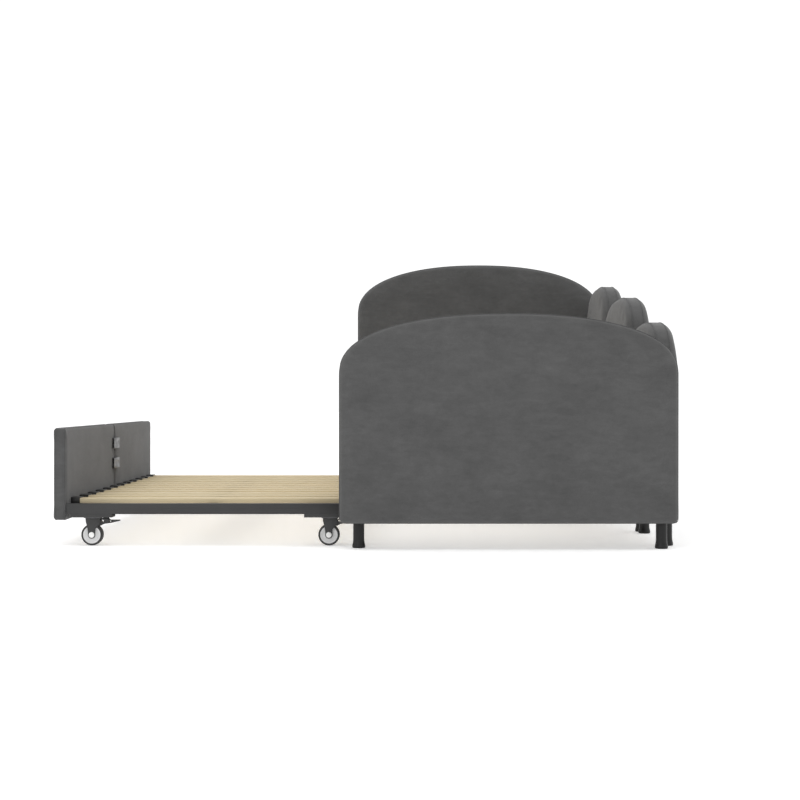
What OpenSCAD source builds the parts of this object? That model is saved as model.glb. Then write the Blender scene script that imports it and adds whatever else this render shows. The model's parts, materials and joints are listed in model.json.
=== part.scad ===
// Upholstered daybed with a pull-out trundle bed on casters.
// Frame: +X towards the low foot end panel, -Y towards the side the trundle
// pulls out of, +Z up. Origin on the floor, at the centre of the footprint
// with the trundle pulled out.

/* [Daybed] */
// Clear length between the two end panels
bay_l = 1940; // [1920:5:1980]
// Thickness of an end panel
end_t = 140; // [120:5:160]
// Depth of the foot end panel, front to back
end_w = 1102; // [1090:2:1120]
// How much narrower the head end panel is than the foot end panel
head_narrow = 18; // [0:2:24]
// Height of the foot end panel's top above the floor
foot_h = 768; // [740:5:800]
// Height of the head end panel's top above the floor
head_h = 1092; // [1040:2:1120]
// Drop of the foot panel's shoulders from its top to its straight sides
foot_drop = 190; // [160:5:210]
// Drop of the head panel's shoulders
head_drop = 212; // [180:5:230]
// Height of the legs
leg_h = 86; // [80:1:86]

/* [Back panels] */
// Thickness of a back panel
back_t = 91; // [85:1:100]
// Distance from the floor to the top of the back panel next to the foot end
back_foot_h = 757; // [720:1:770]
// Top of the middle back panel
back_mid_h = 882; // [850:2:900]
// Top of the back panel next to the head end
back_head_h = 970; // [940:2:990]
// Seam between the foot and middle back panels, along X
seam_foot = 372; // [350:2:390]
// Seam between the middle and head back panels, along X
seam_head = -344; // [-370:2:-330]

/* [Deck] */
// Number of slats on the daybed's deck
deck_n = 13; // [11:1:14]
// Width of a slat
slat_w = 64; // [56:1:66]
// Thickness of a slat
slat_t = 17; // [14:1:18]
// Underside height of the daybed's deck slats
deck_z = 425; // [420:1:430]
// Height of the upholstered front rail
rail_h = 80; // [70:5:90]

/* [Trundle] */
// Length of the trundle's upholstered front panel
tr_l = 1900; // [1890:2:1904]
// Thickness of the trundle's front panel
tr_t = 44; // [40:1:48]
// Top of the trundle's front panel above the floor
tr_top = 393; // [370:1:393]
// Side of the square steel tube of the trundle frame
tube = 35; // [30:1:36]
// Wall of the steel tube
wall = 1.5; // [1.2:0.1:2]
// How far the trundle stands out of the bed: the inner face of its panel
tr_in = -998; // [-1000:1:-990]
// Number of slats on the trundle
slat_n = 12; // [10:1:13]

/* [Casters] */
// Wheel diameter
wheel_d = 72; // [66:1:72]
// Tread width
wheel_w = 32; // [24:1:32]
// Offset of the wheel's axle from the swivel axis
trail = 4; // [3:1:8]
// Reach of the brake lever from the swivel axis
lever_r = 88; // [80:1:88]

/* [Hidden] */
$fn = 64;
e = 0.01;
xi = bay_l / 2;
xo = xi + end_t;
y_f = -81;                       // front edge of the end panels
end_c = y_f + end_w / 2;         // middle of the end panels
back_y = 951;                    // front face of the back panels
pad = 18;                        // foam on the faces
pad_e = 22;                      // foam on the edges
skin = 2;                        // cloth turned under at the bottom
fb = 4;                          // facing board
ring = 34;                       // width of the frame timbers
edge_r = 16;                     // rounding of the padded edges
leg_pts = [[xo - 97.5, -19.5], [xo - 70, 974.5], [-xo + 97.5, -19.5], [-xo + 70, 974.5]];
bleg_x = [xi - 46, seam_foot + 41, seam_foot - 41, seam_head + 41, seam_head - 41, -xi + 46];
bleg_y = 1010;
bolt_z = 390;
bolt_x = [xi - 130, seam_foot + 110, seam_foot - 110, seam_head + 110, seam_head - 110, -xi + 130];
rail_y0 = -72;
rail_y1 = -32;
rail_z0 = 400;
rr_y0 = 921;                     // rear rail
rr_y1 = 949;
frame_z0 = 106;
frame_z1 = frame_z0 + 30;        // top of the long rails, a little under the end rails
tx = 945;                        // half length of the trundle frame
ts_half = 868;                   // outer edges of the trundle's slats
ty1 = -33;                       // rear end of the trundle frame
tr_out = tr_in - tr_t;
cap_l = 30;
cap_w = slat_w + 6;
cap_b = 2;
cap_top = 3.5;
join_z = [320, 243];
join_x = [-45, -18, 18, 45];
tb_x = [-700, -250, 250, 700];   // bolts from the trundle frame into its panel
tb_z = frame_z0 + 15;
cx = 914;                        // casters
cyf = -911.5;
cyr = -117.5;
plate_z = 95;

velvet = [0.36, 0.36, 0.365];
timber = [0.80, 0.68, 0.48];
pine = [0.79, 0.74, 0.59];
board = [0.62, 0.50, 0.36];
steel = [0.29, 0.29, 0.30];
black = [0.06, 0.06, 0.06];
zinc = [0.62, 0.63, 0.65];
pale = [0.86, 0.86, 0.86];

// ---- outlines ------------------------------------------------------------
// Arch-topped panel outline, half width a, from z0 to z1, the shoulders
// falling by drop on a superellipse of power n, moved in by i all round.
// The lower edge is moved in by ib.
function arch(a, z0, z1, drop, n, i, ib) =
    let (aa = a - i, bb = max(drop - i, 10), zt = z1 - i)
    concat([[-aa, z0 + ib], [aa, z0 + ib]],
        [for (k = [0 : 36]) let (t = 180 * k / 36, c = cos(t), s = max(sin(t), 0))
            [aa * sign(c) * pow(abs(c), 2 / n), zt - bb + bb * pow(s, 2 / n)]]);

// Padded slab: the arch outline in the XY plane, thickness t along Z, with
// its edges rounded by r on both faces.
module slab(a, z0, z1, drop, n, t, r, steps = 4) {
    hull() for (s = [0, 1], k = [0 : steps])
        let (q = 90 * k / steps, d = r * (1 - cos(q)), i = r * (1 - sin(q)))
        translate([0, 0, s == 0 ? d : t - d - 0.8])
            linear_extrude(0.8) polygon(arch(a, z0, z1, drop, n, i, min(i, 9)));
}
// Upright positions: end panels stand across X, back panels across Y.
module at_end(x0, yc) { translate([x0, yc, 0]) rotate([90, 0, 90]) children(); }
module at_back(xc, y1) { translate([xc, y1, 0]) rotate([90, 0, 0]) children(); }

// ---- padded panels -------------------------------------------------------
module panel_padding(a, z0, z1, drop, n, t, r) {
    difference() {
        slab(a, z0, z1, drop, n, t, r);
        translate([0, 0, pad]) linear_extrude(t - 2 * pad)
            polygon(concat([[-(a - pad_e), z0 + skin], [a - pad_e, z0 + skin]],
                [for (p = arch(a, z0, z1, drop, n, pad_e, 0)) if (p[1] > z0 + skin + 1) p]));
    }
}
module panel_frame(a, zp, z1, drop, n, t, uprights, cross) {
    i = pad_e;
    z0 = zp + skin;
    difference() {
        translate([0, 0, pad + fb]) linear_extrude(t - 2 * (pad + fb)) union() {
            difference() {
                polygon(arch(a, z0, z1, drop, n, i, 0));
                polygon(arch(a, z0, z1, drop, n, i + ring, ring));
            }
            intersection() {
                polygon(arch(a, z0, z1, drop, n, i + 12, 12));
                union() {
                    for (u = uprights) translate([u - ring / 2, z0 + 5]) square([ring, z1]);
                    for (c = cross) translate([-a, c - 25]) square([2 * a, 50]);
                }
            }
        }
        children();
    }
}
module facing_pair(a, z0, z1, drop, n, t) {
    for (zz = [pad, t - pad - fb]) translate([0, 0, zz])
        linear_extrude(fb) polygon(arch(a, z0 + skin, z1, drop, n, pad_e, 0));
}

// Posts inside the end panels, behind the brackets of the rails and the beam.
end_posts = [-478, -447, -33, 0, 33, 400.5, 431];
// Bolts from the brackets into those posts: [Y, Z]
post_bolts = [[rail_y1 + 26, rail_z0 + 14], [rail_y1 + 48, rail_z0 + 14], [rr_y0 - 26, deck_z - 35],
    [rr_y0 - 48, deck_z - 35], [426, deck_z - 28], [494, deck_z - 28]];
module post_holes() { for (s = [0, 1]) mirror([s, 0, 0]) for (p = post_bolts)
    translate([xi - 5, p[0], p[1]]) rotate([0, 90, 0]) cylinder(h = 52, r = 3.2); }
foot_a = end_w / 2;
head_a = (end_w - head_narrow) / 2;
// Blind holes for the leg studs, and holes for the back panel bolts.
module stud_holes(pts) { for (p = pts) translate([p[0], p[1], leg_h - 1]) cylinder(h = 31, r = 4.2); }
module back_bolt_holes() { for (x = bolt_x) translate([x, 900, bolt_z]) rotate([-90, 0, 0]) cylinder(h = 90, r = 4.2); }

module foot_panel_frame() color(timber) difference() {
    at_end(xi, end_c) panel_frame(foot_a, leg_h, foot_h, foot_drop, 2.25, end_t, end_posts, []);
    stud_holes(leg_pts);
    post_holes();
}
module foot_panel_padding() color(velvet) difference() {
    at_end(xi, end_c) panel_padding(foot_a, leg_h, foot_h, foot_drop, 2.25, end_t, edge_r);
    stud_holes(leg_pts);
    post_holes();
}
module head_panel_frame() color(timber) difference() {
    at_end(-xo, end_c) panel_frame(head_a, leg_h, head_h, head_drop, 2.2, end_t, end_posts, []);
    stud_holes(leg_pts);
    post_holes();
}
module head_panel_padding() color(velvet) difference() {
    at_end(-xo, end_c) panel_padding(head_a, leg_h, head_h, head_drop, 2.2, end_t, edge_r);
    stud_holes(leg_pts);
    post_holes();
}
module end_panel_facings() color(board) difference() {
    union() {
        at_end(xi, end_c) facing_pair(foot_a, leg_h, foot_h, foot_drop, 2.25, end_t);
        at_end(-xo, end_c) facing_pair(head_a, leg_h, head_h, head_drop, 2.2, end_t);
    }
    post_holes();
}

// Back panels: [left X, right X, top]
bp_foot = [seam_foot, xi, back_foot_h];
bp_mid = [seam_head, seam_foot, back_mid_h];
bp_head = [-xi, seam_head, back_head_h];
bdrop = 170;
bn = 2.5;                        // fullness of the back panels' shoulders
function bp_a(p) = (p[1] - p[0]) / 2 - 1;
function bp_c(p) = (p[0] + p[1]) / 2;
bleg_pts = [for (x = bleg_x) [x, bleg_y]];
module back_frame(p) difference() {
    at_back(bp_c(p), back_y + back_t)
        panel_frame(bp_a(p), leg_h, p[2], bdrop, bn, back_t, [], [bolt_z]);
    stud_holes(bleg_pts);
    back_bolt_holes();
}
module back_padding(p) difference() {
    at_back(bp_c(p), back_y + back_t)
        panel_padding(bp_a(p), leg_h, p[2], bdrop, bn, back_t, 24);
    stud_holes(bleg_pts);
    back_bolt_holes();
}
module back_foot_frame() color(timber) back_frame(bp_foot);
module back_mid_frame() color(timber) back_frame(bp_mid);
module back_head_frame() color(timber) back_frame(bp_head);
module back_foot_padding() color(velvet) back_padding(bp_foot);
module back_mid_padding() color(velvet) back_padding(bp_mid);
module back_head_padding() color(velvet) back_padding(bp_head);
module back_panel_facings() color(board) difference() {
    union() for (p = [bp_foot, bp_mid, bp_head])
        at_back(bp_c(p), back_y + back_t) facing_pair(bp_a(p), leg_h, p[2], bdrop, bn, back_t);
    back_bolt_holes();
}

// ---- rails and deck ------------------------------------------------------
module front_rail_board() color(timber) difference() {
    translate([-xi + 0.5, rail_y0 + 9, rail_z0 + 9]) cube([bay_l - 1, 22, rail_h - 18]);
    for (s = [-1, 1], dx = [26, 48]) translate([s * (xi - dx), rail_y1 - 20, rail_z0 + 14])
        rotate([-90, 0, 0]) cylinder(h = 40, r = 3.2);
}
module front_rail_padding() color(velvet) difference() {
    hull() for (y = [rail_y0 + 8, rail_y1 - 8], z = [rail_z0 + 8, rail_z0 + rail_h - 8])
        translate([-xi + 0.5, y, z]) rotate([0, 90, 0]) cylinder(h = bay_l - 1, r = 8, $fn = 24);
    translate([-xi - 1, rail_y0 + 9, rail_z0 + 9]) cube([bay_l + 2, 22, rail_h - 18]);
    for (s = [-1, 1], dx = [26, 48]) translate([s * (xi - dx), rail_y1 - 20, rail_z0 + 14])
        rotate([-90, 0, 0]) cylinder(h = 40, r = 3.2);
}
module rear_rail() color(timber) difference() {
    translate([-xi + 0.5, rr_y0, deck_z - 70]) cube([bay_l - 1, rr_y1 - rr_y0, 70]);
    for (x = bolt_x) translate([x, 900, bolt_z]) rotate([-90, 0, 0]) cylinder(h = 60, r = 4.2);
    for (s = [-1, 1], dx = [26, 48]) translate([s * (xi - dx), rr_y0 - 1, deck_z - 35])
        rotate([-90, 0, 0]) cylinder(h = 20, r = 3.2);
}
module front_ledger() color(timber)
    translate([-xi + 65, rail_y1, deck_z - 30]) cube([bay_l - 130, 30, 30]);
module centre_beam() color(steel) difference() {
    translate([-xi + 4, 440, deck_z - 30]) cube([bay_l - 8, 40, 30]);
    translate([-xi, 442, deck_z - 28]) cube([bay_l, 36, 26]);
}
module beam_hangers() color(steel) for (s = [0, 1]) mirror([s, 0, 0]) {
    difference() {
        union() {
            translate([xi - 3.9, 415, deck_z - 55]) cube([3.8, 90, 55]);
            translate([xi - 50, 435, deck_z - 34]) cube([48, 50, 3.8]);
        }
        for (y = [426, 494]) translate([xi - 10, y, deck_z - 28]) rotate([0, 90, 0]) cylinder(h = 20, r = 3.2);
    }
}
module corner_angle(y0, dir, h) {
    // dir 1: the angle lies behind a face at y0, dir -1: in front of it
    difference() {
        union() {
            translate([xi - 62, dir > 0 ? y0 : y0 - 3, 0]) cube([62 - e, 3, h]);
            translate([xi - 3 - e, dir > 0 ? y0 : y0 - 62, 0]) cube([3, 62, h]);
        }
        for (dx = [26, 48]) {
            translate([xi - dx, y0 - 5, h / 2]) rotate([-90, 0, 0]) cylinder(h = 10, r = 3.2);
            translate([xi - 10, y0 + dir * dx, h / 2]) rotate([0, 90, 0]) cylinder(h = 20, r = 3.2);
        }
    }
}
module corner_brackets() color(steel) for (s = [0, 1]) mirror([s, 0, 0]) {
    translate([0, 0, rail_z0 + 4]) corner_angle(rail_y1, 1, 20);
    translate([0, 0, deck_z - 65]) corner_angle(rr_y0, -1, 60);
}
// A pan-head screw along +Z: head below z = 0, shank above it.
module screw(r, l, hr, hh) { cylinder(h = l, r = r); translate([0, 0, -hh]) cylinder(h = hh, r = hr); }
module frame_bolts() color(zinc) {
    for (x = bolt_x) translate([x, rr_y0 - 0.05, bolt_z]) rotate([-90, 0, 0]) screw(4, 66, 8, 5);
    for (s = [-1, 1], dx = [26, 48]) {
        translate([s * (xi - dx), rail_y1 + 3.05, rail_z0 + 14]) rotate([90, 0, 0]) screw(3, 21, 5.5, 3);
        translate([s * (xi - dx), rr_y0 - 3.05, deck_z - 35]) rotate([-90, 0, 0]) screw(3, 20, 5.5, 3);
    }
    for (s = [0, 1]) mirror([s, 0, 0]) for (p = post_bolts)
        translate([xi - 4.05, p[0], p[1]]) rotate([0, 90, 0]) screw(3, 48, 5.5, 3);
}
// Row of n slats whose outer edges lie at +-x_half. Their ends are planed
// down by a hair where the caps go on.
module slat_row(n, x_half, y0, y1, z0) {
    for (k = [0 : n - 1])
        translate([-x_half + k * (2 * x_half - slat_w) / (n - 1), y0, z0]) difference() {
            cube([slat_w, y1 - y0, slat_t]);
            for (y = [-1, y1 - y0 - cap_l + 3]) translate([-1, y, slat_t - 0.4])
                cube([slat_w + 2, cap_l - 2, 1]);
        }
}
// One moulded cap per slat end: a pocket open towards the slat.
module slat_cap() {
    difference() {
        translate([-cap_w / 2, 0, 0]) cube([cap_w, cap_l, cap_b + slat_t + cap_top]);
        translate([-slat_w / 2 - 0.1, 3, cap_b]) cube([slat_w + 0.2, cap_l, slat_t - 0.4]);
    }
}
module cap_row(n, x_half, y0, y1, z0) {
    for (k = [0 : n - 1])
        translate([-x_half + slat_w / 2 + k * (2 * x_half - slat_w) / (n - 1), 0, z0]) {
            translate([0, y0, 0]) slat_cap();
            translate([0, y1, 0]) rotate([0, 0, 180]) slat_cap();
        }
}
module deck_slats() color(pine) slat_row(deck_n, xi - 8, rail_y1 + 4.2, rr_y1 - 4.2, deck_z + cap_b);
module deck_slat_caps() color(black) cap_row(deck_n, xi - 8, rail_y1 + 1, rr_y1 - 1, deck_z);

// ---- legs ----------------------------------------------------------------
module leg() {
    difference() {
        rotate_extrude() polygon([[0, 0], [20.3, 0], [21.8, 1.5], [21.8, 7], [21.2, 10],
            [19.6, 16], [18.7, 22], [18.5, 27], [18.5, leg_h - 1], [17.6, leg_h], [0, leg_h]]);
        translate([0, 0, leg_h - 28]) cylinder(h = 30, r = 4.2);
    }
}
module end_panel_legs() color(black) for (p = leg_pts) translate([p[0], p[1], 0]) leg();
module back_panel_legs() color(black) for (p = bleg_pts) translate([p[0], p[1], 0]) leg();
module leg_studs() color(zinc) for (p = concat(leg_pts, bleg_pts))
    translate([p[0], p[1], leg_h - 27]) cylinder(h = 55, r = 4);

// ---- trundle panel -------------------------------------------------------
module panel_holes() {
    for (x = join_x, z = join_z) translate([x, tr_in - 18, z]) rotate([-90, 0, 0]) cylinder(h = 30, r = 3.2);
    for (x = tb_x) translate([x, tr_in - 24, tb_z]) rotate([-90, 0, 0]) cylinder(h = 80, r = 4.2);
}
module half_board() translate([14, tr_out + 13, leg_h + skin]) cube([tr_l / 2 - 28, tr_t - 26, tr_top - leg_h - 13 - skin]);
module half_padding() difference() {
    hull() for (s = [0, 1], k = [0 : 3])
        let (q = 90 * k / 3, d = 7 * (1 - cos(q)), i = 7 * (1 - sin(q)))
        translate([1 + i, s == 0 ? tr_out + d : tr_in - d - e, leg_h + min(i, 5)])
            cube([tr_l / 2 - 1 - 2 * i, e, tr_top - leg_h - i - min(i, 5)]);
    translate([14, tr_out + 13, leg_h + skin]) cube([tr_l / 2 - 28, tr_t - 26, tr_top - leg_h - 13 - skin]);
}
module trundle_panel_boards() color(board) difference() {
    union() { half_board(); mirror([1, 0, 0]) half_board(); }
    panel_holes();
}
module trundle_panel_foot_padding() color(velvet) difference() { half_padding(); panel_holes(); }
module trundle_panel_head_padding() color(velvet) difference() { mirror([1, 0, 0]) half_padding(); panel_holes(); }
module joining_plates() color(zinc) for (z = join_z) difference() {
    translate([-60, tr_in + 0.05, z - 20]) cube([120, 9, 40]);
    translate([-61, tr_in - 1, z - 18]) cube([122, 8, 36]);
    for (x = join_x) translate([x, tr_in - 2, z]) rotate([-90, 0, 0]) {
        cylinder(h = 20, r = 3.2);
        translate([0, 0, 9.9]) cylinder(h = 5, r = 5.4);
    }
}
module trundle_panel_screws() color(zinc) {
    for (x = join_x, z = join_z) translate([x, tr_in + 8, z]) rotate([90, 0, 0]) screw(3, 24, 5, 1);
    for (x = tb_x) translate([x, tr_in + tube + 0.2, tb_z]) rotate([90, 0, 0]) screw(4, tube + 22, 8, 5);
}

// ---- trundle frame -------------------------------------------------------
module tube_x(y0) difference() {
    translate([-tx + tube, y0, frame_z0]) cube([2 * (tx - tube), tube, frame_z1 - frame_z0]);
    translate([-tx, y0 + wall, frame_z0 + wall]) cube([2 * tx, tube - 2 * wall, frame_z1 - frame_z0 - 2 * wall]);
}
module trundle_front_rail() color(steel) difference() { tube_x(tr_in + 0.1); panel_holes(); }
module trundle_rear_rail() color(steel) tube_x(ty1 - tube);
module trundle_centre_rail() color(steel) tube_x((tr_in + ty1) / 2 - tube / 2);
module trundle_end_rails() color(steel) for (s = [0, 1]) mirror([s, 0, 0]) difference() {
    translate([tx - tube, tr_in + 0.1, frame_z0]) cube([tube, ty1 - tr_in - 0.1, tube]);
    translate([tx - tube + wall, tr_in - 1, frame_z0 + wall]) cube([tube - 2 * wall, ty1 - tr_in + 2, tube - 2 * wall]);
}
module rail_end_plugs() color(black) for (s = [0, 1]) mirror([s, 0, 0]) {
    translate([tx - tube + wall, ty1 - 20, frame_z0 + wall]) cube([tube - 2 * wall, 20, tube - 2 * wall]);
    translate([tx - tube, ty1, frame_z0]) cube([tube, 2.5, tube]);
}
module trundle_slats() color(pine) slat_row(slat_n, ts_half, tr_in + 4.2, ty1 - 4.2, frame_z1 + cap_b);
module trundle_slat_caps() color(black) cap_row(slat_n, ts_half, tr_in + 1, ty1 - 1, frame_z1);
// Pressed steel channels under the frame corners that carry the casters.
module mount_channel(y0, l) difference() {
    translate([tx - 65, y0, plate_z]) cube([65, l, frame_z0 - plate_z]);
    translate([tx - 62, y0 - 1, plate_z + 3]) cube([59, l + 2, frame_z0 - plate_z]);
    translate([cx, 0, plate_z - 1]) for (dx = [-22, 22], dy = [-22, 22], yc = [cyf, cyr])
        translate([dx, yc + dy, 0]) cylinder(h = 5, r = 3.1);
}
module caster_mounts() color(steel) for (s = [0, 1]) mirror([s, 0, 0]) {
    mount_channel(tr_in + 13, 140);
    mount_channel(-204, 158);
}
module caster_top_plates() color(zinc) for (x = [-cx, cx], y = [cyf, cyr]) translate([x, y, 0]) {
    translate([-28, -28, plate_z - 2.5]) cube([56, 56, 2.5 - e]);
    translate([0, 0, plate_z - 3.6]) cylinder(h = 1.5, r = 20);
    // rivet the fork turns on, with its head under the crown
    translate([0, 0, 86]) cylinder(h = plate_z - 87, r = 5);
    translate([0, 0, 85.2]) cylinder(h = 3, r = 8);
    // bolts into the channel
    for (dx = [-22, 22], dy = [-22, 22]) translate([dx, dy, plate_z - 1]) cylinder(h = 7, r = 3);
    for (dx = [-22, 22], dy = [-22, 22]) translate([dx, dy, plate_z + 3.1]) cylinder(h = 3.5, r = 5);
}

// ---- casters, at the swivel axis, wheel plane across X --------------------
wr = wheel_d / 2;
tyre_in = wr - 7;
fork_in = wheel_w / 2 + 2;
fork_out = fork_in + 2.5;
module fork_plate() linear_extrude(2.5) difference() {
    union() {
        polygon([[-24.5, 91], [24.5, 91], [24.2, 79], [22, 71], [14, 62], [8, 54], [8, 38], [-16, 38],
            [-16.8, 54], [-21, 72], [-23.5, 80]]);
        translate([-trail, wr]) circle(r = 12.5);
    }
    translate([-trail, wr]) circle(r = 4.1);
    translate([20, 79]) circle(r = 2.55);
}
module fork() color(steel) {
    for (x = [-fork_out, fork_in]) translate([x, 0, 0]) rotate([90, 0, 90]) fork_plate();
    difference() {
        translate([-fork_out, -24.5, 88.5]) cube([2 * fork_out, 49, 2.5]);
        translate([0, 0, 80]) cylinder(h = 20, r = 5.05);
    }
}
module axle() color(pale) translate([0, -trail, wr]) rotate([0, 90, 0]) {
    translate([0, 0, -fork_out - 0.2]) cylinder(h = 2 * fork_out + 0.4, r = 4);
    for (s = [0, 1]) mirror([0, 0, s]) {
        translate([0, 0, fork_out + 0.1]) cylinder(h = 2.4, r = 9.6);
        translate([0, 0, fork_out + 2]) cylinder(h = 1.5, r = 8.4);
    }
}
module wheel() color(pale) translate([0, -trail, wr]) rotate([0, 90, 0]) difference() {
    rotate_extrude() polygon([[4.05, -wheel_w / 2 - 1], [11, -wheel_w / 2 - 1], [12, -wheel_w / 2 + 2.5],
        [23, -wheel_w / 2 + 2.5], [25, -wheel_w / 2 + 0.5], [tyre_in, -wheel_w / 2 + 0.5],
        [tyre_in, wheel_w / 2 - 0.5], [25, wheel_w / 2 - 0.5], [23, wheel_w / 2 - 2.5],
        [12, wheel_w / 2 - 2.5], [11, wheel_w / 2 + 1], [4.05, wheel_w / 2 + 1]]);
}
module tyre() color(black) translate([0, -trail, wr]) rotate([0, 90, 0])
    rotate_extrude() polygon([[tyre_in, -wheel_w / 2], [wr - 3, -wheel_w / 2], [wr - 1, -wheel_w / 2 + 1.2],
        [wr, -wheel_w / 2 + 4], [wr, wheel_w / 2 - 4], [wr - 1, wheel_w / 2 - 1.2],
        [wr - 3, wheel_w / 2], [tyre_in, wheel_w / 2]]);
// Foot lever of the brake: presses down about the pin in the fork plates and
// brings its shoe towards the tread.
module brake() color(steel) {
    translate([-12, 0, 0]) rotate([90, 0, 90]) linear_extrude(24) difference() {
        polygon([[12, 74], [12, 84], [25, 85.5], [29.5, 92], [49, 92], [55, 85.4],
            [lever_r - 1, 85.4], [lever_r, 84.4], [lever_r, 82.2], [lever_r - 1.5, 81.4], [74, 79],
            [63, 75.8], [40, 72.8], [34, 71.5], [27, 67.5], [22, 65], [18, 67.5], [16, 71]]);
        translate([31, 82.5]) circle(r = 4);
        translate([56.5, 80.9]) circle(r = 3.3);
    }
    translate([-fork_out - 1, 20, 79]) rotate([0, 90, 0]) cylinder(h = 2 * fork_out + 2, r = 2.5);
}
module at_caster(sx, y) translate([sx * cx, y, 0]) children();

module fork_front_foot() at_caster(1, cyf) fork();
module axle_front_foot() at_caster(1, cyf) axle();
module wheel_front_foot() at_caster(1, cyf) wheel();
module tyre_front_foot() at_caster(1, cyf) tyre();
module brake_front_foot() at_caster(1, cyf) brake();
module fork_front_head() at_caster(-1, cyf) fork();
module axle_front_head() at_caster(-1, cyf) axle();
module wheel_front_head() at_caster(-1, cyf) wheel();
module tyre_front_head() at_caster(-1, cyf) tyre();
module brake_front_head() at_caster(-1, cyf) brake();
module fork_rear_foot() at_caster(1, cyr) fork();
module axle_rear_foot() at_caster(1, cyr) axle();
module wheel_rear_foot() at_caster(1, cyr) wheel();
module tyre_rear_foot() at_caster(1, cyr) tyre();
module brake_rear_foot() at_caster(1, cyr) brake();
module fork_rear_head() at_caster(-1, cyr) fork();
module axle_rear_head() at_caster(-1, cyr) axle();
module wheel_rear_head() at_caster(-1, cyr) wheel();
module tyre_rear_head() at_caster(-1, cyr) tyre();
module brake_rear_head() at_caster(-1, cyr) brake();

foot_panel_frame();
foot_panel_padding();
head_panel_frame();
head_panel_padding();
end_panel_facings();
back_foot_frame();
back_foot_padding();
back_mid_frame();
back_mid_padding();
back_head_frame();
back_head_padding();
back_panel_facings();
front_rail_board();
front_rail_padding();
rear_rail();
front_ledger();
centre_beam();
beam_hangers();
corner_brackets();
frame_bolts();
deck_slats();
deck_slat_caps();
end_panel_legs();
back_panel_legs();
leg_studs();
trundle_panel_boards();
trundle_panel_foot_padding();
trundle_panel_head_padding();
joining_plates();
trundle_panel_screws();
trundle_front_rail();
trundle_rear_rail();
trundle_centre_rail();
trundle_end_rails();
rail_end_plugs();
trundle_slats();
trundle_slat_caps();
caster_mounts();
caster_top_plates();
fork_front_foot();
axle_front_foot();
wheel_front_foot();
tyre_front_foot();
brake_front_foot();
fork_front_head();
axle_front_head();
wheel_front_head();
tyre_front_head();
brake_front_head();
fork_rear_foot();
axle_rear_foot();
wheel_rear_foot();
tyre_rear_foot();
brake_rear_foot();
fork_rear_head();
axle_rear_head();
wheel_rear_head();
tyre_rear_head();
brake_rear_head();
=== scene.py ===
import json
import math

import bmesh
import bpy
import numpy as np
from mathutils import Matrix, Vector, noise


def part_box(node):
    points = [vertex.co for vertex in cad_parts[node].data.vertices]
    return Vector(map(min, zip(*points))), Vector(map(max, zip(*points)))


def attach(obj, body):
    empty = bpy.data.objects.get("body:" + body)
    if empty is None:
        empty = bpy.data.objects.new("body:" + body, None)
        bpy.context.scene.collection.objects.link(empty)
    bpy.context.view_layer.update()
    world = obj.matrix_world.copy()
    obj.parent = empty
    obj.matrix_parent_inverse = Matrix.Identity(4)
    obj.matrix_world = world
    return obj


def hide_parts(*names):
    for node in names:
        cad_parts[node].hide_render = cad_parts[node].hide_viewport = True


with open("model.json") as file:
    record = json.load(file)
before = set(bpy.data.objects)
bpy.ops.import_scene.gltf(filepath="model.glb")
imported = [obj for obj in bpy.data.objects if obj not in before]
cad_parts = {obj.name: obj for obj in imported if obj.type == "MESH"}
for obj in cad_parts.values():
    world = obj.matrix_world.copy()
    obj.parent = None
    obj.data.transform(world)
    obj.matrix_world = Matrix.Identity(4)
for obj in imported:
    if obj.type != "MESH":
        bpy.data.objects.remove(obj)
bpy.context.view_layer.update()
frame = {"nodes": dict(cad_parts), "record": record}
COL = bpy.context.scene.collection
BODY_OF = {n: b for b, ns in frame["record"]["behaviour"]["bodies"].items() for n in ns}


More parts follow.
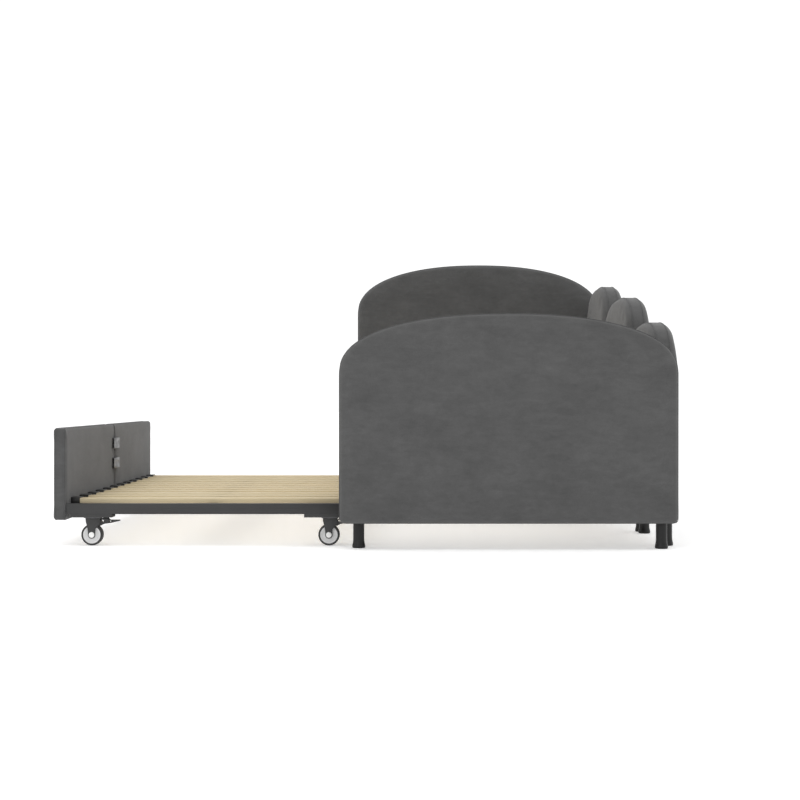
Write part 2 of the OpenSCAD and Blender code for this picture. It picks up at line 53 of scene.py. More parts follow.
# ---------------------------------------------------------------- materials
class Mat:
    """A node material with a few short helpers."""

    def __init__(self, name):
        self.m = bpy.data.materials.new(name)
        self.m.use_nodes = True
        self.t = self.m.node_tree
        self.t.nodes.clear()
        self.out = self.t.nodes.new("ShaderNodeOutputMaterial")
        self.b = self.t.nodes.new("ShaderNodeBsdfPrincipled")
        self.t.links.new(self.b.outputs[0], self.out.inputs[0])
        self.co = self.t.nodes.new("ShaderNodeTexCoord").outputs["Object"]

    def node(self, kind, **sets):
        n = self.t.nodes.new(kind)
        for k, v in sets.items():
            setattr(n, k, v)
        return n

    def link(self, a, b):
        self.t.links.new(a, b)

    def scaled(self, v, loc=(0, 0, 0), rot=(0, 0, 0), src=None):
        n = self.node("ShaderNodeMapping")
        n.inputs["Scale"].default_value = v
        n.inputs["Location"].default_value = loc
        n.inputs["Rotation"].default_value = rot
        self.link(src or self.co, n.inputs["Vector"])
        return n.outputs[0]

    def noise(self, scale, detail=4, rough=0.5, dist=0.0, src=None):
        n = self.node("ShaderNodeTexNoise")
        n.inputs["Scale"].default_value = scale
        n.inputs["Detail"].default_value = detail
        n.inputs["Roughness"].default_value = rough
        n.inputs["Distortion"].default_value = dist
        self.link(src or self.co, n.inputs["Vector"])
        return n.outputs["Fac"]

    def range(self, v, a, b, c, d):
        n = self.node("ShaderNodeMapRange")
        for i, x in zip((1, 2, 3, 4), (a, b, c, d)):
            n.inputs[i].default_value = x
        self.link(v, n.inputs[0])
        return n.outputs[0]

    def math(self, op, a, b=None):
        n = self.node("ShaderNodeMath", operation=op)
        for i, x in enumerate((a, b)):
            if x is None:
                continue
            if isinstance(x, (int, float)):
                n.inputs[i].default_value = x
            else:
                self.link(x, n.inputs[i])
        return n.outputs[0]

    def ramp(self, v, stops):
        n = self.node("ShaderNodeValToRGB")
        r = n.color_ramp
        while len(r.elements) < len(stops):
            r.elements.new(0.5)
        for e, (p, c) in zip(r.elements, stops):
            e.position = p
            e.color = (*c, 1)
        self.link(v, n.inputs[0])
        return n.outputs[0]

    def tint(self, colour, fac):
        """A fixed colour (or a colour socket) times a factor."""
        n = self.node("ShaderNodeVectorMath", operation="SCALE")
        if isinstance(colour, tuple):
            n.inputs[0].default_value = colour
        else:
            self.link(colour, n.inputs[0])
        self.link(fac, n.inputs["Scale"])
        return n.outputs[0]

    def mix(self, f, a, b):
        n = self.node("ShaderNodeMix", data_type="RGBA")
        if isinstance(f, (int, float)):
            n.inputs[0].default_value = f
        else:
            self.link(f, n.inputs[0])
        for i, x in ((6, a), (7, b)):
            if isinstance(x, tuple):
                n.inputs[i].default_value = (*x, 1)
            else:
                self.link(x, n.inputs[i])
        return n.outputs[2]

    def bump(self, h, strength, distance, prev=None):
        n = self.node("ShaderNodeBump")
        n.inputs["Strength"].default_value = strength
        n.inputs["Distance"].default_value = distance
        self.link(h, n.inputs["Height"])
        if prev is not None:
            self.link(prev, n.inputs["Normal"])
        self.link(n.outputs[0], self.b.inputs["Normal"])
        return n.outputs[0]

    def set(self, **v):
        for k, x in v.items():
            self.b.inputs[k.replace("_", " ")].default_value = x
        return self


def velvet(name, base):
    m = Mat(name)
    # broad soft patches where the pile lies differently, and brushed strokes
    patches = m.noise(1.0, 5, 0.62, 0.35, m.scaled((5.5, 5.5, 9.0)))
    strokes = m.noise(1.0, 5, 0.62, 0.6, m.scaled((18, 18, 60), loc=(3.1, 1.7, 0.4)))
    blots = m.noise(42, 3, 0.55, 0.2)
    grain = m.noise(520, 3, 0.6)
    pile = m.noise(2100, 2, 0.5)
    f = m.range(patches, 0.3, 0.7, 0.90, 1.10)
    f = m.math("MULTIPLY", f, m.range(strokes, 0.3, 0.7, 0.92, 1.08))
    f = m.math("MULTIPLY", f, m.range(blots, 0.3, 0.7, 0.96, 1.04))
    f = m.math("MULTIPLY", f, m.range(grain, 0.3, 0.7, 0.88, 1.12))
    m.link(m.tint(base, f), m.b.inputs["Base Color"])
    m.link(m.range(patches, 0.3, 0.7, 0.92, 0.82), m.b.inputs["Roughness"])
    m.set(Specular_IOR_Level=0.25, Sheen_Weight=0.22, Sheen_Roughness=0.45)
    m.b.inputs["Sheen Tint"].default_value = (0.82, 0.82, 0.82, 1)
    n1 = m.bump(m.noise(26, 3, 0.5, 0.3), 0.08, 0.004)
    n2 = m.bump(grain, 0.22, 0.0009, n1)
    m.bump(pile, 0.35, 0.0004, n2)
    return m.m


def pine():
    m = Mat("pine")
    isl = m.node("ShaderNodeNewGeometry").outputs["Random Per Island"]
    shift = m.node("ShaderNodeCombineXYZ")
    m.link(m.math("MULTIPLY", isl, 7.3), shift.inputs[0])
    m.link(m.math("MULTIPLY", isl, 3.1), shift.inputs[1])
    m.link(m.math("MULTIPLY", isl, 5.7), shift.inputs[2])
    add = m.node("ShaderNodeVectorMath", operation="ADD")
    m.link(m.co, add.inputs[0])
    m.link(shift.outputs[0], add.inputs[1])
    src = add.outputs[0]
    # growth rings seen on a flat-sawn face, and fine fibres
    warp = m.noise(1.0, 3, 0.5, 0.0, m.scaled((9, 1.3, 9), src=src))
    w = m.node("ShaderNodeTexWave", wave_type="BANDS", bands_direction="X", wave_profile="SIN")
    w.inputs["Scale"].default_value = 1.0
    w.inputs["Distortion"].default_value = 5.5
    w.inputs["Detail"].default_value = 2.5
    w.inputs["Detail Scale"].default_value = 1.1
    m.link(m.scaled((46, 1.6, 30), src=src), w.inputs["Vector"])
    fibre = m.noise(1.0, 5, 0.6, 0.0, m.scaled((420, 7, 420), src=src))
    pores = m.noise(1.0, 3, 0.6, 0.0, m.scaled((900, 26, 900), src=src))
    tone = m.ramp(w.outputs["Fac"], [(0.0, (0.594, 0.488, 0.308)), (0.5, (0.622, 0.518, 0.338)), (1.0, (0.642, 0.543, 0.362))])
    tone = m.mix(m.range(warp, 0.35, 0.65, 0.0, 0.55), tone, (0.650, 0.530, 0.325))
    f = m.math("MULTIPLY", m.range(fibre, 0.3, 0.7, 0.96, 1.035), m.range(isl, 0, 1, 0.97, 1.025))
    f = m.math("MULTIPLY", f, m.range(pores, 0.35, 0.7, 1.02, 0.95))
    # a few small knots
    v = m.node("ShaderNodeTexVoronoi", feature="F1")
    v.inputs["Scale"].default_value = 1.0
    m.link(m.scaled((11, 3.2, 9), src=src), v.inputs["Vector"])
    knot = m.range(v.outputs["Distance"], 0.03, 0.085, 1.0, 0.0)
    col = m.mix(m.math("MULTIPLY", knot, 0.55), m.tint(tone, f), (0.23, 0.13, 0.055))
    m.link(col, m.b.inputs["Base Color"])
    m.link(m.range(fibre, 0.3, 0.7, 0.66, 0.50), m.b.inputs["Roughness"])
    m.set(Specular_IOR_Level=0.35)
    n1 = m.bump(w.outputs["Fac"], 0.10, 0.0006)
    m.bump(fibre, 0.25, 0.0004, n1)
    return m.m


def timber(name, light, dark):
    m = Mat(name)
    g = m.noise(1.0, 5, 0.6, 0.3, m.scaled((40, 40, 6)))
    fine = m.noise(1.0, 4, 0.6, 0.0, m.scaled((350, 350, 30)))
    f = m.range(fine, 0.3, 0.7, 0.9, 1.1)
    m.link(m.tint(m.ramp(g, [(0.3, dark), (0.7, light)]), f), m.b.inputs["Base Color"])
    m.link(m.range(fine, 0.3, 0.7, 0.75, 0.6), m.b.inputs["Roughness"])
    m.bump(fine, 0.2, 0.0004)
    return m.m


def coated(name, base, rough=0.52):
    m = Mat(name)
    peel = m.noise(380, 3, 0.5)
    cloud = m.noise(9, 4, 0.6)
    dust = m.noise(1500, 2, 0.5)
    f = m.math("MULTIPLY", m.range(cloud, 0.3, 0.7, 0.93, 1.07), m.range(dust, 0.35, 0.7, 0.95, 1.06))
    m.link(m.tint(base, f), m.b.inputs["Base Color"])
    m.link(m.range(m.noise(16, 4, 0.6), 0.3, 0.7, rough - 0.05, rough + 0.07), m.b.inputs["Roughness"])
    m.set(Specular_IOR_Level=0.45)
    m.bump(peel, 0.14, 0.0003)
    return m.m


def zinc():
    m = Mat("zinc")
    m.set(Metallic=0.85)
    brush = m.noise(1.0, 4, 0.55, 0.0, m.scaled((60, 900, 900)))
    blotch = m.noise(45, 3, 0.6)
    f = m.math("MULTIPLY", m.range(brush, 0.3, 0.7, 0.92, 1.08), m.range(blotch, 0.3, 0.7, 0.94, 1.06))
    m.link(m.tint((0.122, 0.122, 0.124), f), m.b.inputs["Base Color"])
    m.link(m.range(blotch, 0.3, 0.7, 0.34, 0.48), m.b.inputs["Roughness"])
    m.bump(brush, 0.12, 0.0002)
    return m.m


def plastic(name, base, rough, spec=0.45, grain=0.10, scale=900):
    m = Mat(name)
    g = m.noise(scale, 3, 0.55)
    c = m.noise(30, 3, 0.5)
    m.link(m.tint(base, m.range(c, 0.3, 0.7, 0.95, 1.05)), m.b.inputs["Base Color"])
    m.link(m.range(c, 0.3, 0.7, rough - 0.04, rough + 0.05), m.b.inputs["Roughness"])
    m.set(Specular_IOR_Level=spec)
    m.bump(g, grain, 0.0003)
    return m.m


V = (0.0745, 0.0745, 0.0745)
M_VELVET = velvet("velvet", V)
M_PINE = pine()
M_TIMBER = timber("timber", (0.62, 0.46, 0.28), (0.47, 0.33, 0.18))
M_BOARD = timber("fibreboard", (0.36, 0.25, 0.15), (0.30, 0.20, 0.11))
M_STEEL = coated("coated_steel", (0.0262, 0.0262, 0.0264))
M_ZINC = zinc()
M_BLACK = plastic("black_plastic", (0.012, 0.012, 0.012), 0.45)
M_LEG = plastic("leg_plastic", (0.0065, 0.0065, 0.0065), 0.36, 0.32, 0.05)
M_TYRE = plastic("tyre_rubber", (0.030, 0.030, 0.030), 0.62, 0.4, 0.18, 600)
M_WHEEL = plastic("wheel_plastic", (0.60, 0.60, 0.60), 0.38, 0.5, 0.04)
M_HUB = plastic("hub_plastic", (0.78, 0.78, 0.77), 0.26, 0.5, 0.02)
SLOT_MAT = {"velvet": M_VELVET, "timber": M_TIMBER, "fibreboard": M_BOARD, "pine": M_PINE,
            "coated_steel": M_STEEL, "zinc_steel": M_ZINC, "black_plastic": M_BLACK,
            "leg_plastic": M_LEG, "tyre_rubber": M_TYRE, "wheel_plastic": M_WHEEL,
            "hub_plastic": M_HUB}
SLOT_OF = {s["node"]: s["material_slot"] for s in frame["record"]["subparts"]}

for name, o in frame["nodes"].items():
    mat = SLOT_MAT[SLOT_OF[name]]
    if not o.data.materials:
        o.data.materials.append(mat)
    for i in range(len(o.material_slots)):
        o.material_slots[i].material = mat


# ---------------------------------------------------------------- mesh tools
def put(name, bm_or_mesh, mat, angle=None):
    if isinstance(bm_or_mesh, bmesh.types.BMesh):
        me = bpy.data.meshes.new(name)
        bm_or_mesh.to_mesh(me)
        bm_or_mesh.free()
    else:
        me = bm_or_mesh
    me.materials.clear()
    me.materials.append(mat)
    o = bpy.data.objects.new(name, me)
    COL.objects.link(o)
    for p in me.polygons:
        p.use_smooth = True
    if angle is not None:
        me.set_sharp_from_angle(angle=math.radians(angle))
    return o


def place(o, *nodes, body=None):
    """Stands for these CAD nodes and rides where they ride."""
    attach(o, body or BODY_OF[nodes[0]])
    if nodes:
        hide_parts(*nodes)
    return o


def bake_modifiers(o):
    dg = bpy.context.evaluated_depsgraph_get()
    me = bpy.data.meshes.new_from_object(o.evaluated_get(dg))
    old = o.data
    o.modifiers.clear()
    o.data = me
    bpy.data.meshes.remove(old)
    return o


def dressed(node, width=0.0008, segs=2, angle=32):
    """The CAD piece with its machined edges eased, as a new mesh."""
    src = frame["nodes"][node]
    me = src.data.copy()
    bm = bmesh.new()
    bm.from_mesh(me)
    bmesh.ops.remove_doubles(bm, verts=bm.verts, dist=2e-6)
    bmesh.ops.dissolve_limit(bm, angle_limit=math.radians(0.6), verts=bm.verts, edges=bm.edges)
    bm.to_mesh(me)
    bm.free()
    for a in ("custom_normal",):
        if a in me.attributes:
            me.attributes.remove(me.attributes[a])
    o = put(node + "_finish", me, SLOT_MAT[SLOT_OF[node]], None)
    b = o.modifiers.new("ease", "BEVEL")
    b.width = width
    b.segments = segs
    b.limit_method = "ANGLE"
    b.angle_limit = math.radians(angle)
    b.harden_normals = False
    b.use_clamp_overlap = True
    bake_modifiers(o)
    for p in o.data.polygons:
        p.use_smooth = True
    o.data.set_sharp_from_angle(angle=math.radians(angle))
    return place(o, node)


def lathe(profile, n=72, axis="Z"):
    """Closed surface of revolution about Z (or X) from (radius, height) points."""
    bm = bmesh.new()
    rings = []
    for r, z in profile:
        ring = []
        for k in range(n):
            a = 2 * math.pi * k / n
            if axis == "Z":
                p = (r * math.cos(a), r * math.sin(a), z)
            else:
                p = (z, r * math.cos(a), r * math.sin(a))
            ring.append(bm.verts.new(p))
            if r < 1e-7:
                break
        rings.append(ring)
    for r0, r1 in zip(rings, rings[1:]):
        for k in range(n):
            k2 = (k + 1) % n
            if len(r0) == 1 and len(r1) == 1:
                continue
            if len(r0) == 1:
                bm.faces.new((r0[0], r1[k], r1[k2]))
            elif len(r1) == 1:
                bm.faces.new((r0[k], r1[0], r0[k2]))
            else:
                bm.faces.new((r0[k], r1[k], r1[k2], r0[k2]))
    bmesh.ops.recalc_face_normals(bm, faces=bm.faces)
    return bm


def joined(name, parts, mat, angle=None):
    bm = bmesh.new()
    for b, off in parts:
        me = bpy.data.meshes.new("t")
        b.to_mesh(me)
        me.transform(Matrix.Translation(Vector(off)))
        bm.from_mesh(me)
        bpy.data.meshes.remove(me)
    return put(name, bm, mat, angle)


# ---------------------------------------------------------------- padded panels
def superellipse_top(a, zt, drop, n):
    return lambda x: zt - drop + drop * max(0.0, 1 - min(1.0, abs(x) / a) ** n) ** (1 / n)


def round_corner(a, rc):
    return lambda x: rc - math.sqrt(max(0.0, rc * rc - max(0.0, abs(x) - (a - rc)) ** 2))


def slab_mesh(a, zb, top, rc, t, r, cell, box_rows=5, arc=5, mitre=1.0):
    """Closed quad mesh of a padded slab in (x, z) with thickness along y from 0 to t.
    a is the half width of the face inside the rounded edge, zb its lower edge, top its upper
    edge as a function of x. The edge rounding of radius r lies outside of that face.
    Returns the mesh, the outline loops and the indices of the vertices on those loops."""
    low = round_corner(a, rc)
    nx = max(12, int(2 * a / cell))
    us = [math.sin(math.pi / 2 * (2 * i / nx - 1)) * 0.45 + (2 * i / nx - 1) * 0.55 for i in range(nx + 1)]
    xs = [u * a for u in us]
    xs = [-a, -a + 0.004] + [x for x in xs if abs(x) < a - 0.009] + [a - 0.004, a]
    nx = len(xs) - 1
    nz = max(4, int((top(0) - zb) / cell))
    ts = [0.0, 0.004 / (top(0) - zb)] + [j / nz for j in range(1, nz + 1)]
    nz = len(ts) - 1
    grid = [[(x, zb + low(x) + (top(x) - zb - low(x)) * t_) for t_ in ts] for x in xs]
    loop = [(i, 0) for i in range(nx)] + [(nx, j) for j in range(nz)]
    loop += [(i, nz) for i in range(nx, 0, -1)] + [(0, j) for j in range(nz, 0, -1)]
    pts = [grid[i][j] for i, j in loop]
    m = len(pts)
    normals = []
    for k in range(m):
        (x0, z0), (x1, z1) = pts[k - 1], pts[(k + 1) % m]
        dx, dz = x1 - x0, z1 - z0
        l = math.hypot(dx, dz) or 1
        normals.append((dz / l, -dx / l))
    for _ in range(2):
        sm = []
        for k in range(m):
            nx_, nz_ = (normals[k - 1][i] * 0.25 + normals[k][i] * 0.5 + normals[(k + 1) % m][i] * 0.25 for i in (0, 1))
            l = math.hypot(nx_, nz_) or 1
            square = pts[k][1] < zb + 0.02 and abs(pts[k][0]) > a - 0.02
            sm.append(normals[k] if square else (nx_ / l, nz_ / l))
        normals = sm
    for k, (i, j) in enumerate(loop):
        if j == 0 and i in (0, nx):
            q = 0.7071 * mitre
            normals[k] = (q if i else -q, -q)
    bm = bmesh.new()
    faces = []
    for y in (0.0, t):
        faces.append([[bm.verts.new((p[0], y, p[1])) for p in col] for col in grid])
    kind = {}
    for s, g in enumerate(faces):
        for i in range(nx):
            for j in range(nz):
                q = (g[i][j], g[i + 1][j], g[i + 1][j + 1], g[i][j + 1])
                bm.faces.new(q if s == 0 else q[::-1])
    rows = []
    rows.append([faces[0][i][j] for i, j in loop])
    prof = []
    for k in range(1, arc + 1):
        q = math.pi / 2 * k / arc
        prof.append((r * math.sin(q), r * (1 - math.cos(q))))
    for k in range(1, box_rows):
        prof.append((r, r + (t - 2 * r) * k / box_rows))
    for k in range(arc, 0, -1):
        q = math.pi / 2 * k / arc
        prof.append((r * math.sin(q), t - r * (1 - math.cos(q))))
    for off, y in prof:
        rows.append([bm.verts.new((p[0] + n[0] * off, y, p[1] + n[1] * off)) for p, n in zip(pts, normals)])
    rows.append([faces[1][i][j] for i, j in loop])
    for r0, r1 in zip(rows, rows[1:]):
        for k in range(m):
            k2 = (k + 1) % m
            bm.faces.new((r0[k], r1[k], r1[k2], r0[k2]))
    bmesh.ops.recalc_face_normals(bm, faces=bm.faces)
    bm.verts.index_update()
    seam_rows = [[(v.co.x, v.co.y, v.co.z) for v in rows[i]] for i in (arc, len(rows) - 1 - arc)]
    pinned = sorted({v.index for v in rows[arc]} | {v.index for v in rows[len(rows) - 1 - arc]})
    return bm, seam_rows, pinned


def puff(o, pinned, cap, frames=16, pressure=3.0, seed=0.0):
    """Fills a closed cover with cloth pressure, holding its sewn edges, and caps the swell."""
    rest = np.array([v.co for v in o.data.vertices], float)
    vg = o.vertex_groups.new(name="pin")
    vg.add(pinned, 1.0, "REPLACE")
    # tiny uneven start so that the fabric settles like fabric and not like a balloon
    for v in o.data.vertices:
        k = noise.noise(Vector((v.co.x * 9 + seed, v.co.y * 9, v.co.z * 9)))
        v.co += v.normal * (0.0006 * k)
    c = o.modifiers.new("cloth", "CLOTH")
    s = c.settings
    s.quality = 5
    s.mass = 0.35
    s.tension_stiffness = 22
    s.compression_stiffness = 22
    s.shear_stiffness = 8
    s.bending_stiffness = 1.6
    s.use_pressure = True
    s.uniform_pressure_force = pressure
    s.effector_weights.gravity = 0
    s.vertex_group_mass = "pin"
    s.pin_stiffness = 1.0
    s.air_damping = 2.0
    c.collision_settings.use_collision = False
    c.collision_settings.use_self_collision = False
    c.point_cache.frame_start = 1
    c.point_cache.frame_end = frames
    sc = bpy.context.scene
    for f in range(1, frames + 1):
        sc.frame_set(f)
    dg = bpy.context.evaluated_depsgraph_get()
    me = o.evaluated_get(dg).to_mesh()
    co = np.array([v.co for v in me.vertices], float)
    o.evaluated_get(dg).to_mesh_clear()
    o.modifiers.remove(c)
    d = co - rest
    l = np.linalg.norm(d, axis=1)
    k = np.where(l > 1e-9, cap * np.tanh(l / cap) / np.maximum(l, 1e-9), 1.0)
    new = rest + d * k[:, None]
    o.data.vertices.foreach_set("co", new.astype(np.float32).ravel())
    o.data.update()
    o.vertex_groups.clear()
    sc.frame_set(1)


def subdivided(o, levels=1):
    s = o.modifiers.new("smooth", "SUBSURF")
    s.levels = levels
    s.render_levels = levels
    bake_modifiers(o)
    for p in o.data.polygons:
        p.use_smooth = True
    return o


def seam_tube(name, loops, matrix, radius, sides=6, lift=0.0):
    """A thin sewn ridge along closed loops of points."""
    bm = bmesh.new()
    for loop in loops:
        pts = [matrix @ Vector(p) for p in loop]
        # drop near-duplicate points, then resample evenly
        seg = [(pts[(i + 1) % len(pts)] - pts[i]).length for i in range(len(pts))]
        total = sum(seg)
        n = max(24, int(total / 0.012))
        out, acc, i = [], 0.0, 0
        for k in range(n):
            want = total * k / n
            while acc + seg[i] < want:
                acc += seg[i]
                i += 1
            f = (want - acc) / max(seg[i], 1e-9)
            out.append(pts[i].lerp(pts[(i + 1) % len(pts)], f))
        centre = sum(out, Vector()) / n
        rings = []
        for k in range(n):
            tangent = (out[(k + 1) % n] - out[k - 1]).normalized()
            side = tangent.orthogonal().normalized() if k == 0 else None
            if k == 0:
                ref = (out[0] - centre)
            ref = out[k] - centre
            u = (ref - tangent * ref.dot(tangent)).normalized()
            w = tangent.cross(u)
            rings.append([bm.verts.new(out[k] + u * (math.cos(2 * math.pi * j / sides) * radius + lift)
                                       + w * math.sin(2 * math.pi * j / sides) * radius) for j in range(sides)])
        for k in range(n):
            a, b = rings[k], rings[(k + 1) % n]
            for j in range(sides):
                bm.faces.new((a[j], a[(j + 1) % sides], b[(j + 1) % sides], b[j]))
    bmesh.ops.recalc_face_normals(bm, faces=bm.faces)
    return put(name, bm, M_VELVET)


def padded_panel(node, a, zb, top, rc, t, r, cell, cap, shrink, place_m, seed, mitre=1.32):
    bm, seams, pinned = slab_mesh(a - r, zb + r, top, rc, t - 2 * shrink, r, cell, mitre=mitre)
    o = put(node + "_cover", bm, M_VELVET)
    puff(o, pinned, cap, seed=seed)
    o.data.transform(Matrix.Translation((0, shrink, 0)))
    o.data.transform(place_m)
    subdivided(o, 1)
    place(o, node)
    s = seam_tube(node + "_seam", seams, place_m @ Matrix.Translation((0, shrink, 0)), 0.0011)
    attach(s, BODY_OF[node])
    return o


def span(node):
    lo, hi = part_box(node)
    return lo, hi, (lo + hi) / 2, hi - lo


# End panels: local x runs along the bed's Y, local y (thickness) along X.
for node, drop, n, seed in (("foot_panel_padding", 0.190, 2.25, 1.3), ("head_panel_padding", 0.212, 2.2, 4.1)):
    lo, hi, c, d = span(node)
    r = 0.016
    a = d.y / 2
    top = superellipse_top(a - r, hi.z - r, drop - r, n)
    m = Matrix.Translation((lo.x, c.y, 0)) @ Matrix(((0, 1, 0, 0), (1, 0, 0, 0), (0, 0, 1, 0), (0, 0, 0, 1)))
    padded_panel(node, a, lo.z, top, 0.002, d.x, r, 0.020, 0.0028, 0.0018, m, seed)

# Back panels: local x along X, thickness along Y.
for node, seed in (("back_foot_padding", 2.2), ("back_mid_padding", 3.9), ("back_head_padding", 5.5)):
    lo, hi, c, d = span(node)
    r = 0.024
    a = d.x / 2
    top = superellipse_top(a - r, hi.z - r, 0.170 - r, 2.6)
    m = Matrix.Translation((c.x, lo.y, 0))
    padded_panel(node, a, lo.z, top, 0.002, d.y, r, 0.020, 0.0034, 0.0008, m, seed, 1.2)

# Trundle front panel halves and the front rail: rounded rectangles.
for node, r, cell, cap, seed in (("trundle_panel_foot_padding", 0.007, 0.018, 0.0018, 6.1),
                                 ("trundle_panel_head_padding", 0.007, 0.018, 0.0018, 7.7),
                                 ("front_rail_padding", 0.010, 0.016, 0.0018, 8.3)):
    lo, hi, c, d = span(node)
    a = d.x / 2
    corner = round_corner(a - r, 0.003)
    m = Matrix.Translation((c.x, lo.y, 0))
    padded_panel(node, a, lo.z, (lambda x, f=corner, z=hi.z - r: z - f(x)), 0.004, d.y, r, cell, cap, 0.0012, m, seed, 1.0)


# ---------------------------------------------------------------- slats
def board_bm(x0, x1, y0, y1, z0, z1, r, rings, seed, warp=0.0004):
    bm = bmesh.new()
    corners = [(x1 - r, z1 - r, 0), (x0 + r, z1 - r, 90), (x0 + r, z0 + r, 180), (x1 - r, z0 + r, 270)]
    cs = []
    for cx, cz, a0 in corners:
        for k in range(4):
            a = math.radians(a0 + 30 * k)
            cs.append((cx + r * math.cos(a), cz + r * math.sin(a)))
    rows = []
    ys = [y0, y0 + 0.0268, y0 + 0.0272] + [y0 + (y1 - y0) * i / rings for i in range(2, rings - 1)]
    for y in ys + [y1 - 0.0272, y1 - 0.0268, y1]:
        k = noise.noise(Vector((seed * 3.7, y * 1.6, 0.2)))
        tw = noise.noise(Vector((seed * 5.1, y * 1.1, 3.2)))
        row = []
        seat = 0.0004 if min(y - y0, y1 - y) < 0.027 else 0.0
        for x, z in cs:
            z = min(z, z1 - seat)
            dz = warp * k + warp * 0.6 * tw * (x - (x0 + x1) / 2) / ((x1 - x0) / 2)
            row.append(bm.verts.new((x + warp * 0.5 * tw, y, z + dz)))
        rows.append(row)
    m = len(cs)
    for a, b in zip(rows, rows[1:]):
        for k in range(m):
            bm.faces.new((a[k], a[(k + 1) % m], b[(k + 1) % m], b[k]))
    bm.faces.new(rows[0][::-1])
    bm.faces.new(rows[-1])
    bmesh.ops.recalc_face_normals(bm, faces=bm.faces)
    return bm


def islands(node):
    """Boxes of the separate solids of a CAD node, sorted along X then Y."""
    src = frame["nodes"][node].data
    bm = bmesh.new()
    bm.from_mesh(src)
    bmesh.ops.remove_doubles(bm, verts=bm.verts, dist=2e-6)
    seen, out = set(), []
    for v in bm.verts:
        if v in seen:
            continue
        stack, mem = [v], []
        seen.add(v)
        while stack:
            w = stack.pop()
            mem.append(w.co.copy())
            for e in w.link_edges:
                o = e.other_vert(w)
                if o not in seen:
                    seen.add(o)
                    stack.append(o)
        lo = Vector([min(p[i] for p in mem) for i in range(3)])
        hi = Vector([max(p[i] for p in mem) for i in range(3)])
        out.append((lo, hi))
    bm.free()
    out.sort(key=lambda b: (round(b[0].x, 3), round(b[0].y, 3)))
    return out


for node in ("trundle_slats", "deck_slats"):
    parts = [(board_bm(lo.x, hi.x, lo.y, hi.y, lo.z, hi.z, 0.0022, 28, i + (0.5 if node[0] == "d" else 0)), (0, 0, 0))
             for i, (lo, hi) in enumerate(islands(node))]
    o = joined(node + "_boards", parts, M_PINE, 40)
    place(o, node)

# ---------------------------------------------------------------- hard pieces
for node, w in (("trundle_slat_caps", 0.0012), ("deck_slat_caps", 0.0012), ("joining_plates", 0.0012),
                ("trundle_front_rail", 0.0016), ("trundle_rear_rail", 0.0016), ("trundle_centre_rail", 0.0016),
                ("trundle_end_rails", 0.0016), ("rail_end_plugs", 0.0008), ("caster_mounts", 0.0010),
                ("caster_top_plates", 0.0005), ("rear_rail", 0.0015), ("front_ledger", 0.0015),
                ("centre_beam", 0.0014), ("beam_hangers", 0.0006), ("corner_brackets", 0.0005),
                ("frame_bolts", 0.0005), ("trundle_panel_screws", 0.0005)):
    dressed(node, w)
for end in ("foot", "head"):
    for fr in ("front", "rear"):
        k = f"{fr}_{end}"
        dressed("fork_" + k, 0.0007)
        dressed("brake_" + k, 0.0010)


def leg_profile(h):
    return [(0, 0), (0.0185, 0), (0.0203, 0.0006), (0.0214, 0.0022), (0.0218, 0.0045), (0.0218, 0.0072),
            (0.0215, 0.0090), (0.0208, 0.0118), (0.0200, 0.0150), (0.0193, 0.0190), (0.01885, 0.0235),
            (0.0186, 0.0290), (0.0185, 0.0340), (0.0185, 0.052), (0.0185, h - 0.0075), (0.0181, h - 0.0072),
            (0.0181, h - 0.0060), (0.0185, h - 0.0057), (0.0185, h - 0.0012), (0.0181, h - 0.0003),
            (0.0175, h), (0.0045, h), (0.0045, h - 0.027), (0, h - 0.027)]


for node in ("end_panel_legs", "back_panel_legs"):
    parts = []
    for lo, hi in islands(node):
        parts.append((lathe(leg_profile(hi.z), 64), ((lo.x + hi.x) / 2, (lo.y + hi.y) / 2, 0)))
    place(joined(node + "_turned", parts, M_LEG, 40), node)

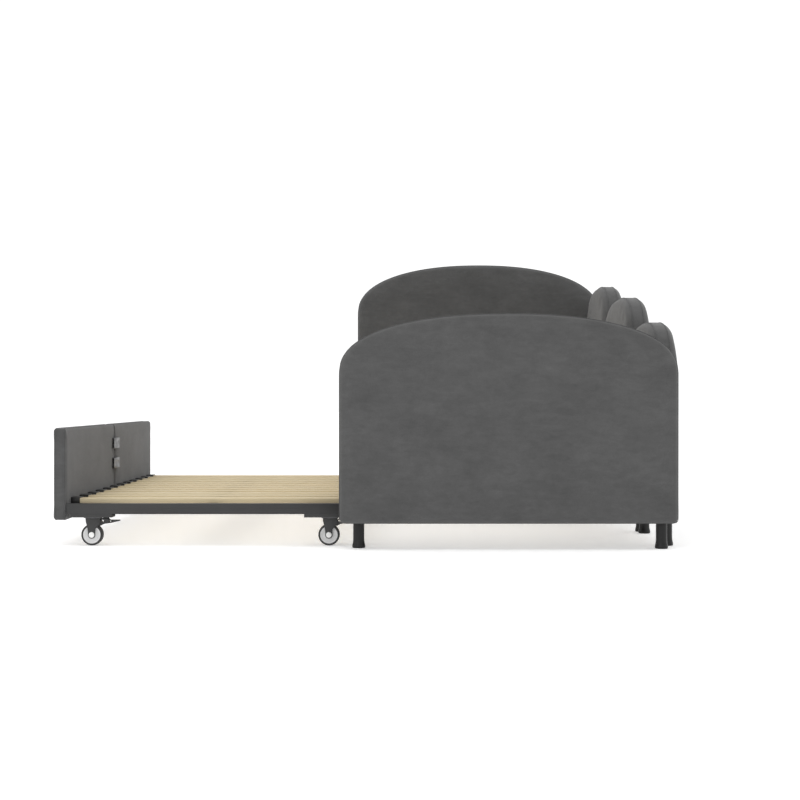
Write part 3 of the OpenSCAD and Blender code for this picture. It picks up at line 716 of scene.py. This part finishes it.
for end in ("foot", "head"):
    for fr in ("front", "rear"):
        k = f"{fr}_{end}"
        lo, hi, c, d = span("tyre_" + k)
        R, w = d.z / 2, d.x / 2
        ri = R - 0.007
        prof = [(ri, -w + 0.0004), (ri + 0.0012, -w), (R - 0.0034, -w), (R - 0.0018, -w + 0.0006), (R - 0.0006, -w + 0.0022),
                (R - 0.0001, -w + 0.0045), (R, -0.0022), (R - 0.0005, -0.0016), (R - 0.0005, 0.0016), (R, 0.0022),
                (R - 0.0001, w - 0.0045), (R - 0.0006, w - 0.0022),
                (R - 0.0018, w - 0.0006), (R - 0.0034, w), (ri + 0.0012, w), (ri, w - 0.0004), (ri, -w + 0.0004)]
        o = joined("tyre_tread_" + k, [(lathe(prof, 96, "X"), c)], M_TYRE, 50)
        place(o, "tyre_" + k)
        rw = ri - 0.00002
        prof = [(0.00405, -w - 0.001), (0.0106, -w - 0.001), (0.0112, -w - 0.0004), (0.0118, -w + 0.0022), (0.0126, -w + 0.0027),
                (0.0222, -w + 0.0027), (0.0231, -w + 0.0022), (0.0246, -w + 0.0008), (0.0254, -w + 0.0004), (rw, -w + 0.0004),
                (rw, w - 0.0004), (0.0254, w - 0.0004), (0.0246, w - 0.0008), (0.0231, w - 0.0022), (0.0222, w - 0.0027),
                (0.0126, w - 0.0027), (0.0118, w - 0.0022), (0.0112, w + 0.0004), (0.0106, w + 0.001), (0.00405, w + 0.001),
                (0.00405, -w - 0.001)]
        o = joined("wheel_core_" + k, [(lathe(prof, 96, "X"), c)], M_WHEEL, 50)
        place(o, "wheel_" + k)
        lo, hi, c, d = span("axle_" + k)
        h = d.x / 2
        R = d.z / 2
        half = [(0, h - 0.0006), (0.0026, h - 0.0006), (0.0031, h), (R - 0.0030, h), (R - 0.0020, h - 0.0004),
                (R - 0.0014, h - 0.0011), (R - 0.0006, h - 0.0015), (R - 0.0001, h - 0.0022), (R, h - 0.0034), (0.004, h - 0.0034)]
        prof = [(q, -z) for q, z in half] + half[::-1]
        o = joined("axle_cap_" + k, [(lathe(prof, 64, "X"), c)], M_HUB, 40)
        place(o, "axle_" + k)

# ---------------------------------------------------------------- stage
bm = bmesh.new()
bmesh.ops.create_grid(bm, x_segments=2, y_segments=2, size=60)
M_FLOOR = plastic("floor_paint", (0.93, 0.93, 0.93), 0.85, 0.1, 0.02, 40)
for n in M_FLOOR.node_tree.nodes:
    if n.type == "BSDF_PRINCIPLED":
        n.inputs["Emission Color"].default_value = (1, 1, 1, 1)
        n.inputs["Emission Strength"].default_value = 0.30
floor = put("floor", bm, M_FLOOR)
floor.location.z = -0.0002

world = bpy.data.worlds.new("studio")
bpy.context.scene.world = world
world.use_nodes = True
wt = world.node_tree
wt.nodes.clear()
wo = wt.nodes.new("ShaderNodeOutputWorld")
bg = wt.nodes.new("ShaderNodeBackground")
bg.inputs[0].default_value = (1, 1, 1, 1)
bg.inputs[1].default_value = 0.98
seen = wt.nodes.new("ShaderNodeBackground")
seen.inputs[0].default_value = (1, 1, 1, 1)
seen.inputs[1].default_value = 1.10
lp = wt.nodes.new("ShaderNodeLightPath")
mx = wt.nodes.new("ShaderNodeMixShader")
wt.links.new(lp.outputs["Is Camera Ray"], mx.inputs[0])
wt.links.new(bg.outputs[0], mx.inputs[1])
wt.links.new(seen.outputs[0], mx.inputs[2])
wt.links.new(mx.outputs[0], wo.inputs[0])


def area(name, loc, target, size, power):
    l = bpy.data.lights.new(name, "AREA")
    l.shape = "RECTANGLE"
    l.size, l.size_y = size
    l.energy = power
    o = bpy.data.objects.new(name, l)
    o.location = loc
    o.rotation_mode = "QUATERNION"
    o.rotation_quaternion = (Vector(target) - Vector(loc)).to_track_quat("-Z", "Y")
    COL.objects.link(o)
    return o


area("key_top", (0.6, -0.4, 5.2), (0, 0.1, 0.4), (7, 7), 75)
area("fill_camera", (7.5, -2.6, 2.6), (0.6, 0.2, 0.5), (4, 3), 38)
area("fill_left", (1.0, -6.5, 2.4), (0, 0, 0.4), (5, 3), 40)
area("fill_back", (-1.0, 6.5, 2.8), (0, 0.3, 0.4), (5, 3), 25)

cam_data = bpy.data.cameras.new("camera")
cam_data.lens = 75
cam_data.sensor_width = 36
cam_data.clip_end = 200
cam = bpy.data.objects.new("camera", cam_data)
cam.location = (6.510, 0.1165, 0.4874)
cam.rotation_euler = (math.pi / 2, 0, math.pi / 2)
COL.objects.link(cam)
bpy.context.scene.camera = cam
vs = bpy.context.scene.view_settings
vs.view_transform = "Standard"
vs.look = "None"
